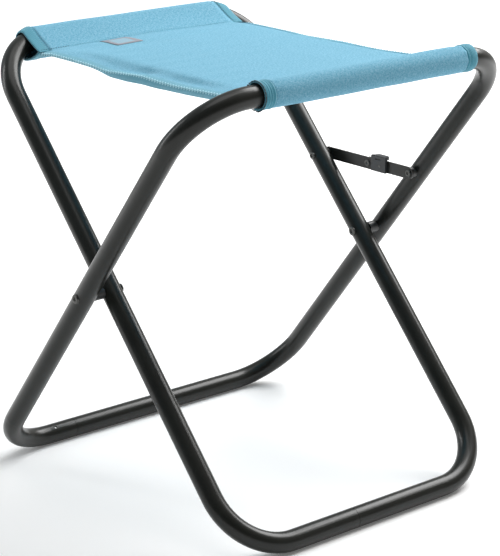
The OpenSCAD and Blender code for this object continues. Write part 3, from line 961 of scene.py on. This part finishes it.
def frayed_rim():
    """Loose dark thread ends round the front sleeve's open left edge."""
    spans = []
    for k in range(FRAYED_ENDS):
        turn = 2 * math.pi * k / FRAYED_ENDS
        wild = noise.noise(Vector((k * 1.7, 0.3, 0.0)))
        ends = []
        for angle, out, y in (
            (turn, 13.8, 1.8), (turn + 0.10 * wild, 15.0 + 1.2 * wild, -0.9 - 0.8 * wild)
        ):
            x, z = out * MM * math.cos(angle), out * MM * math.sin(angle)
            ends.append((FRONT_X + x, FRONT_LEFT_Y + y * MM, RAIL_Z + z))
        spans.append(ends)
    return bead_chain("frayed_rim", spans, 0.42 * MM, black_thread)


rim_threads = frayed_rim()

# ---------- label ----------


def make_label():
    """The label patch, lying on the pad."""
    low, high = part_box("seat_label")
    centre = (low + high) / 2
    steps = np.linspace(-0.5, 0.5, 15)
    rows = []
    for s in steps:
        row = []
        for t in steps:
            x, y = centre.x + s * LABEL_SIZE, centre.y + t * LABEL_SIZE
            row.append(tuple(on_pad(x, y, 0.35 * MM)))
        rows.append(row)
    points = np.array(rows)
    u, v = np.meshgrid(steps * LABEL_SIZE, steps * LABEL_SIZE, indexing="ij")
    return sheet_of("label_patch", points, 0.4 * MM, np.stack([u, v], 2), label_print)


label = make_label()

# ---------- what each piece rides on -----------------------------

for piece, slot in (
    (pad, "seat_fabric"),
    (under_cloth, "seat_fabric"),
    (left_binding, "trim_tape"),
    (right_binding, "trim_tape"),
    (left_overlock, "trim_tape"),
    (right_overlock, "trim_tape"),
    (pad_stitches, "trim_tape"),
    (label, "label_print"),
):
    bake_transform(piece)

for piece, body, slot in (
    (front_sleeve, "outer_frame", "seat_fabric"),
    (front_left_hem, "outer_frame", "trim_tape"),
    (front_right_hem, "outer_frame", "trim_tape"),
    (rim_threads, "outer_frame", "trim_tape"),
    (back_tunnel, "inner_frame", "seat_fabric"),
    (back_left_hem, "inner_frame", "trim_tape"),
    (back_right_hem, "inner_frame", "trim_tape"),
    (seam_start, "inner_frame", "trim_tape"),
    (seam_stitches, "inner_frame", "trim_tape"),
    (tunnel_left_row, "inner_frame", "trim_tape"),
    (tunnel_right_row, "inner_frame", "trim_tape"),
):
    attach(piece, body)

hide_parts("seat_top_panel", "seat_padding")
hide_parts("seat_under_panel")
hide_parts("left_edge_binding")
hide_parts("right_edge_binding")
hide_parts("seat_label")
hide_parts("front_rail_sleeve")
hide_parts("front_sleeve_left_hem")
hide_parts("front_sleeve_right_hem")
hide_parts("back_rail_sleeve")
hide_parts("back_sleeve_left_hem")
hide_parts("back_sleeve_right_hem")

# ---------- floor, light and camera ----------


def make_floor():
    """A pale floor lit by painted light: its emission glows faintly round the stool, lightening the
    stool's shadow, and more further out, as a lit studio sweep looks.
    """
    mesh = bpy.data.meshes.new("floor")
    half = 9.0
    corners = [(-half, -half, 0), (half, -half, 0), (half, half, 0), (-half, half, 0)]
    mesh.from_pydata(corners, [], [(0, 1, 2, 3)])
    material, tree, shader = new_material("floor_paint")
    place = put(tree, "TexCoord").outputs["Object"]
    cloud = noise_at(tree, place, 3.0)
    tree.links.new(
        ramp(tree, cloud, (0.3, (0.86, 0.86, 0.86)), (0.7, (0.88, 0.88, 0.88))),
        shader.inputs["Base Color"],
    )
    shader.inputs["Roughness"].default_value = 0.8
    # Painted light: emission from 0.10 round the stool up to 0.6 further out whitens the floor and
    # lightens the stool's shadow on it.
    away = put(tree, "VectorMath", {0: place}, operation="LENGTH").outputs["Value"]
    glow = put(
        tree, "MapRange",
        {"Value": away, "From Min": 0.5, "From Max": 2.2, "To Min": 0.10, "To Max": 0.6},
    ).outputs["Result"]
    tree.links.new(glow, shader.inputs["Emission Strength"])
    shader.inputs["Emission Color"].default_value = (1, 1, 1, 1)
    mesh.materials.append(material)
    add_object("floor", mesh)


def area_light(name, place, aim_z, width, height, power):
    """A white panel of light, aimed at a height over the middle of the floor."""
    data = bpy.data.lights.new(name, "AREA")
    data.shape = "RECTANGLE"
    data.size, data.size_y = width, height
    data.energy = power
    obj = add_object(name, data)
    obj.location = place
    aim = Vector((0, 0, aim_z)) - Vector(place)
    obj.rotation_euler = aim.to_track_quat("-Z", "Y").to_euler()


def make_world():
    """Dim in front of the stool and bright behind and above it, a little cool on its left
    and warm on its right."""
    world = bpy.data.worlds.new("studio")
    scene.world = world
    world.use_nodes = True
    tree = world.node_tree
    background = tree.nodes["Background"]
    look = put(tree, "TexCoord").outputs["Generated"]
    behind = put(tree, "VectorMath", {0: look, 1: (-0.62, 0.48, 0.62)}, operation="DOT_PRODUCT")
    level = put(
        tree, "MapRange",
        {"Value": behind.outputs["Value"], "From Min": -0.45, "From Max": 0.75,
         "To Min": 0.10, "To Max": 0.55},
    ).outputs["Result"]
    aside = put(tree, "VectorMath", {0: look, 1: (0.62, 0.78, 0.0)}, operation="DOT_PRODUCT")
    tint = ramp(
        tree, maths(tree, "MULTIPLY_ADD", aside.outputs["Value"], 0.5, 0.5),
        (0.1, (0.86, 0.95, 1.0)), (0.9, (1.0, 0.95, 0.88)),
    )
    tree.links.new(tint, background.inputs["Color"])
    tree.links.new(level, background.inputs["Strength"])


def make_camera(azimuth, elevation, roll, distance, target):
    """Azimuth 0 looks along +Y; roll turns the picture about its own middle."""
    data = bpy.data.cameras.new("camera")
    data.lens = 125.36
    data.sensor_width = 36
    data.shift_x, data.shift_y = 0.00604, 0.08027
    a, e, r = (math.radians(v) for v in (azimuth, elevation, roll))
    back = Vector((math.sin(a) * math.cos(e), -math.cos(a) * math.cos(e), math.sin(e)))
    side = Vector((math.cos(a), math.sin(a), 0))
    up = back.cross(side)
    side, up = side * math.cos(r) + up * math.sin(r), up * math.cos(r) - side * math.sin(r)
    obj = add_object("camera", data)
    turn = Matrix((side, up, back)).transposed().to_4x4()
    obj.matrix_world = Matrix.Translation(Vector(target) + back * distance) @ turn
    scene.camera = obj


make_floor()
make_world()
area_light("key_box", (0.0, 1.75, 2.1), aim_z=0.4, width=1.8, height=1.8, power=90)
area_light("top_box", (0.1, -0.2, 2.6), aim_z=0.3, width=1.6, height=1.6, power=14)
area_light("left_strip", (-2.0, -1.5, 1.2), aim_z=0.3, width=0.35, height=1.8, power=16)
make_camera(
    azimuth=51.65, elevation=18.75, roll=-0.894, distance=2.124,
    target=(7.2 * MM, 0.1 * MM, 167.6 * MM),
)
scene.view_settings.view_transform = "Standard"
